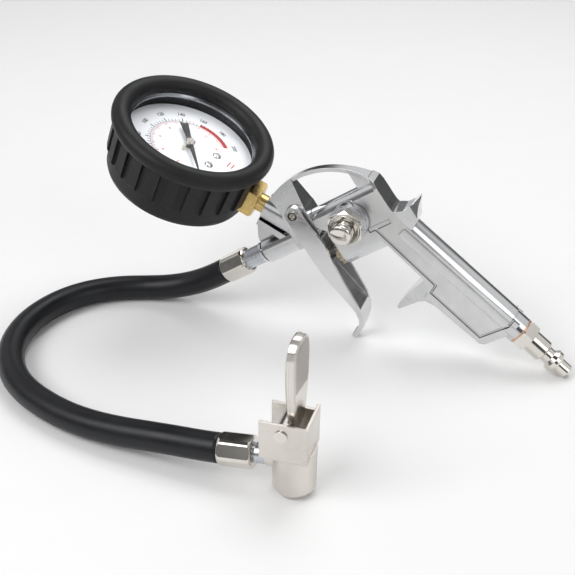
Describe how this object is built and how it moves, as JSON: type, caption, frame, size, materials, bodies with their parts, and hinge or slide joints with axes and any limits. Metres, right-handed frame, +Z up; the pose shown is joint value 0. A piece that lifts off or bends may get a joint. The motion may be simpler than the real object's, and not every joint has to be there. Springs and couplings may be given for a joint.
{
  "type": "tyre inflator with gauge",
  "caption": "Hand-held tyre inflator: polished cast pistol body with trigger and hanging bow, rubber-booted dial gauge, short black hose and clip-on chuck with thumb lever.",
  "frame": {"origin": "centre of the bottom of the box round the gun and gauge, on the table it stands on", "axes": "+X towards the inlet plug, +Y away from the bleed-valve side, +Z up"},
  "size_m": [0.2819, 0.1785, 0.1239],
  "materials": {
    "cast_aluminium": "polished die casting with satin side faces",
    "polished_trigger": "bright plated pressed sheet",
    "nickel": "bright nickel plating, turned and hexagon faces",
    "satin_nickel": "satin nickel plating over a zinc casting",
    "zinc_stub": "zinc plated, turned",
    "steel": "plain steel",
    "brass": "milled and turned, unplated",
    "black_rubber": "moulded rubber, dull",
    "hose_rubber": "smooth hose cover with a slight sheen",
    "seal_rubber": "soft seal rubber",
    "case_black": "dark semi-gloss painted steel case",
    "bezel_steel": "gloss black rolled ring with a bright edge",
    "dial_white": "white lacquered dial with printed scales",
    "pointer_black": "matt black",
    "lens": "clear flat window",
    "copper": "soft sealing washer"
  },
  "bodies": {
    "inflator": {"body_casting": "cast_aluminium", "valve_spring": "steel", "valve_gland": "nickel", "relief_washer": "nickel", "relief_body": "nickel", "relief_spring": "steel", "relief_seal": "seal_rubber", "inlet_plug": "nickel", "inlet_washer": "copper", "gauge_stem": "brass", "gauge_boot": "black_rubber", "gauge_case": "case_black", "gauge_bezel": "bezel_steel", "gauge_lens": "lens", "lens_gasket": "seal_rubber", "dial_plate": "dial_white", "dial_screws": "steel", "stop_pin": "brass", "movement_plate_top": "brass", "movement_plate_back": "brass", "movement_posts": "brass", "bourdon_tube": "brass", "tube_link": "brass", "hairspring": "brass", "hose_stub": "zinc_stub", "ferrule_gun": "nickel", "hose": "hose_rubber", "ferrule_chuck": "nickel", "chuck_stub": "zinc_stub", "chuck_body": "satin_nickel", "lever_pin": "nickel", "chuck_seal": "seal_rubber", "chuck_spring": "steel"},
    "trigger_body": {"trigger": "polished_trigger", "trigger_pin": "nickel"},
    "air_valve": {"valve_stem": "steel", "valve_seal": "seal_rubber"},
    "bleed_button": {"relief_button": "nickel"},
    "pointer_body": {"pointer": "pointer_black", "pointer_hub": "brass", "pinion": "brass"},
    "sector_body": {"sector_gear": "brass"},
    "lever_body": {"chuck_lever": "nickel"},
    "plunger_body": {"chuck_plunger": "brass"}
  },
  "joints": [
    {"name": "trigger_pull", "type": "hinge", "parent": "inflator", "child": "trigger_body", "pos_m": [-0.0217, 0.00152, 0.06928], "axis": [0, -1, 0], "range_deg": [0, 9], "stiffness_Nm_per_rad": 2, "springref_deg": -11.46},
    {"name": "valve_open", "type": "slide", "parent": "inflator", "child": "air_valve", "axis": [0.8207, 0, 0.5714], "range_m": [0, 0.005]},
    {"name": "bleed_press", "type": "slide", "parent": "inflator", "child": "bleed_button", "axis": [0, 1, 0], "range_m": [0, 0.0025], "stiffness_N_per_m": 800, "springref_m": -0.003},
    {"name": "pointer_spin", "type": "hinge", "parent": "inflator", "child": "pointer_body", "pos_m": [-0.0812, 0.00072, 0.09608], "axis": [-0.3964, 0.0872, -0.9139], "range_deg": [0, 263], "stiffness_Nm_per_rad": 0.0004, "springref_deg": -17.19},
    {"name": "sector_swing", "type": "hinge", "parent": "inflator", "child": "sector_body", "pos_m": [-0.07547, 0.00168, 0.08165], "axis": [0.3964, -0.0872, 0.9139], "range_deg": [0, 66]},
    {"name": "chuck_lever_swing", "type": "hinge", "parent": "inflator", "child": "lever_body", "pos_m": [0.0172, -0.12532, 0.0343], "axis": [0.0349, -0.9994, 0], "range_deg": [0, 65], "stiffness_Nm_per_rad": 0.25, "springref_deg": -28.65},
    {"name": "plunger_lift", "type": "slide", "parent": "inflator", "child": "plunger_body", "axis": [0, 0, 1], "range_m": [0, 0.0026]}
  ],
  "couplings": [
    {"joint": "valve_open", "follows": "trigger_pull", "m_per_rad": 0.0312},
    {"joint": "sector_swing", "follows": "pointer_spin", "ratio": 0.25},
    {"joint": "plunger_lift", "follows": "chuck_lever_swing", "m_per_rad": 0.0022}
  ]
}
